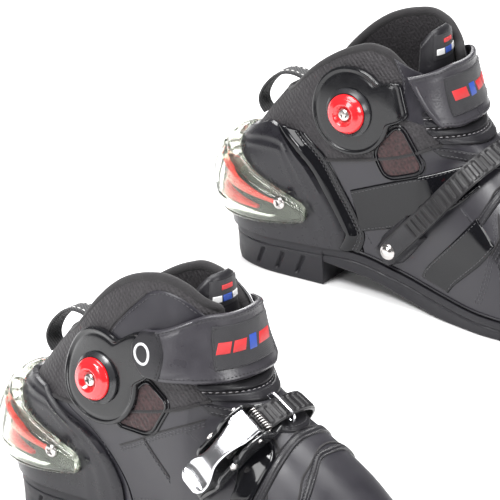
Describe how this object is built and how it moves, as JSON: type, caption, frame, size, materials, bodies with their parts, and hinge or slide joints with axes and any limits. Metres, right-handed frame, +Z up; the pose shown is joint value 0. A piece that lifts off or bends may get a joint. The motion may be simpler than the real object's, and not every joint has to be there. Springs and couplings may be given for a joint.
{
  "type": "riding boots",
  "caption": "Pair of short motorcycle boots with ribbed buckle strap, hook-and-loop ankle strap, red ankle discs and a clear heel guard.",
  "frame": {"origin": "centre of the pair's bounding box, on the ground under the boots", "axes": "+X the way the toes point, +Y from the right boot towards the left boot, +Z up"},
  "size_m": [0.4709, 0.5972, 0.2011],
  "materials": {
    "r_outsole": "satin moulded",
    "r_insole_board": "board",
    "r_footbed": "foam with cloth",
    "r_toe_cap": "satin microfibre",
    "r_vamp": "patent and satin panels",
    "r_quarter": "patent and satin panels",
    "r_shaft": "fine mesh over padding",
    "r_tongue": "padded mesh",
    "r_heel_counter": "satin moulded",
    "r_heel_slider": "clear moulded plastic, faintly grey-green",
    "r_heel_reflector": "gloss red",
    "r_heel_screw_lateral": "bright zinc",
    "r_heel_screw_medial": "bright zinc",
    "r_ankle_plate_lateral": "semi-gloss black",
    "r_ankle_plate_medial": "semi-gloss black",
    "r_ankle_ring_lateral": "dark gloss",
    "r_ankle_ring_medial": "dark gloss",
    "r_ankle_cap_lateral": "satin red",
    "r_ankle_cap_medial": "satin red",
    "r_ankle_screw_lateral": "bright zinc",
    "r_ankle_screw_medial": "bright zinc",
    "r_pull_loop": "woven webbing",
    "r_closure_strap": "fine grain",
    "r_ladder_strap": "moulded ribbed",
    "r_ladder_rivet": "polished dome",
    "r_buckle_base": "dark moulded",
    "r_buckle_lever": "polished",
    "r_lever_axle": "bright",
    "r_buckle_pawl": "bright",
    "r_wire_bail": "bright wire",
    "l_outsole": "satin moulded",
    "l_insole_board": "board",
    "l_footbed": "foam with cloth",
    "l_toe_cap": "satin microfibre",
    "l_vamp": "patent and satin panels",
    "l_quarter": "patent and satin panels",
    "l_shaft": "fine mesh over padding",
    "l_tongue": "padded mesh",
    "l_heel_counter": "satin moulded",
    "l_heel_slider": "clear moulded plastic, faintly grey-green",
    "l_heel_reflector": "gloss red",
    "l_heel_screw_lateral": "bright zinc",
    "l_heel_screw_medial": "bright zinc",
    "l_ankle_plate_lateral": "semi-gloss black",
    "l_ankle_plate_medial": "semi-gloss black",
    "l_ankle_ring_lateral": "dark gloss",
    "l_ankle_ring_medial": "dark gloss",
    "l_ankle_cap_lateral": "satin red",
    "l_ankle_cap_medial": "satin red",
    "l_ankle_screw_lateral": "bright zinc",
    "l_ankle_screw_medial": "bright zinc",
    "l_pull_loop": "woven webbing",
    "l_closure_strap": "fine grain",
    "l_ladder_strap": "moulded ribbed",
    "l_ladder_rivet": "polished dome",
    "l_buckle_base": "dark moulded",
    "l_buckle_lever": "polished",
    "l_lever_axle": "bright",
    "l_buckle_pawl": "bright",
    "l_wire_bail": "bright wire"
  },
  "bodies": {
    "r_boot": {"r_outsole": "r_outsole", "r_insole_board": "r_insole_board", "r_footbed": "r_footbed", "r_toe_cap": "r_toe_cap", "r_vamp": "r_vamp", "r_quarter": "r_quarter", "r_shaft": "r_shaft", "r_tongue": "r_tongue", "r_heel_counter": "r_heel_counter", "r_heel_slider": "r_heel_slider", "r_heel_reflector": "r_heel_reflector", "r_heel_screw_lateral": "r_heel_screw_lateral", "r_heel_screw_medial": "r_heel_screw_medial", "r_ankle_plate_lateral": "r_ankle_plate_lateral", "r_ankle_plate_medial": "r_ankle_plate_medial", "r_ankle_ring_lateral": "r_ankle_ring_lateral", "r_ankle_ring_medial": "r_ankle_ring_medial", "r_ankle_cap_lateral": "r_ankle_cap_lateral", "r_ankle_cap_medial": "r_ankle_cap_medial", "r_ankle_screw_lateral": "r_ankle_screw_lateral", "r_ankle_screw_medial": "r_ankle_screw_medial", "r_pull_loop": "r_pull_loop", "r_ladder_strap": "r_ladder_strap", "r_ladder_rivet": "r_ladder_rivet", "r_buckle_base": "r_buckle_base", "r_lever_axle": "r_lever_axle"},
    "r_closure_strap": {"r_closure_strap": "r_closure_strap"},
    "r_buckle_lever": {"r_buckle_lever": "r_buckle_lever"},
    "r_buckle_pawl": {"r_buckle_pawl": "r_buckle_pawl"},
    "r_wire_bail": {"r_wire_bail": "r_wire_bail"},
    "l_boot": {"l_outsole": "l_outsole", "l_insole_board": "l_insole_board", "l_footbed": "l_footbed", "l_toe_cap": "l_toe_cap", "l_vamp": "l_vamp", "l_quarter": "l_quarter", "l_shaft": "l_shaft", "l_tongue": "l_tongue", "l_heel_counter": "l_heel_counter", "l_heel_slider": "l_heel_slider", "l_heel_reflector": "l_heel_reflector", "l_heel_screw_lateral": "l_heel_screw_lateral", "l_heel_screw_medial": "l_heel_screw_medial", "l_ankle_plate_lateral": "l_ankle_plate_lateral", "l_ankle_plate_medial": "l_ankle_plate_medial", "l_ankle_ring_lateral": "l_ankle_ring_lateral", "l_ankle_ring_medial": "l_ankle_ring_medial", "l_ankle_cap_lateral": "l_ankle_cap_lateral", "l_ankle_cap_medial": "l_ankle_cap_medial", "l_ankle_screw_lateral": "l_ankle_screw_lateral", "l_ankle_screw_medial": "l_ankle_screw_medial", "l_pull_loop": "l_pull_loop", "l_ladder_strap": "l_ladder_strap", "l_ladder_rivet": "l_ladder_rivet", "l_buckle_base": "l_buckle_base", "l_lever_axle": "l_lever_axle"},
    "l_closure_strap": {"l_closure_strap": "l_closure_strap"},
    "l_buckle_lever": {"l_buckle_lever": "l_buckle_lever"},
    "l_buckle_pawl": {"l_buckle_pawl": "l_buckle_pawl"},
    "l_wire_bail": {"l_wire_bail": "l_wire_bail"}
  },
  "joints": [
    {"name": "left_boot_lifts", "type": "slide", "parent": "r_boot", "child": "l_boot", "axis": [0, 0, 1], "range_m": [0, 0.3]},
    {"name": "r_strap_opens", "type": "hinge", "parent": "r_boot", "child": "r_closure_strap", "pos_m": [0.07742, -0.19491, 0.1552], "axis": [0, 0, 1], "range_deg": [0, 100]},
    {"name": "r_lever_opens", "type": "hinge", "parent": "r_boot", "child": "r_buckle_lever", "pos_m": [0.12217, -0.27763, 0.11982], "axis": [-0.8617, 0.1487, 0.4851], "range_deg": [0, 85]},
    {"name": "r_pawl_lifts", "type": "hinge", "parent": "r_boot", "child": "r_buckle_pawl", "pos_m": [0.10976, -0.28167, 0.10029], "axis": [0.8785, -0.0877, -0.4697], "range_deg": [0, 8], "stiffness_Nm_per_rad": 0.05},
    {"name": "r_bail_tilts", "type": "hinge", "parent": "r_boot", "child": "r_wire_bail", "pos_m": [0.1284, -0.24862, 0.1236], "axis": [-0.8785, 0.0877, 0.4697], "range_deg": [0, 25]},
    {"name": "l_strap_opens", "type": "hinge", "parent": "l_boot", "child": "l_closure_strap", "pos_m": [-0.06158, 0.19491, 0.1552], "axis": [0, 0, -1], "range_deg": [0, 100]},
    {"name": "l_lever_opens", "type": "hinge", "parent": "l_boot", "child": "l_buckle_lever", "pos_m": [-0.01683, 0.27763, 0.11982], "axis": [0.8617, 0.1487, -0.4851], "range_deg": [0, 85]},
    {"name": "l_pawl_lifts", "type": "hinge", "parent": "l_boot", "child": "l_buckle_pawl", "pos_m": [-0.02924, 0.28167, 0.10029], "axis": [-0.8785, -0.0877, 0.4697], "range_deg": [0, 8], "stiffness_Nm_per_rad": 0.05},
    {"name": "l_bail_tilts", "type": "hinge", "parent": "l_boot", "child": "l_wire_bail", "pos_m": [-0.0106, 0.24862, 0.1236], "axis": [0.8785, 0.0877, -0.4697], "range_deg": [0, 25]}
  ]
}
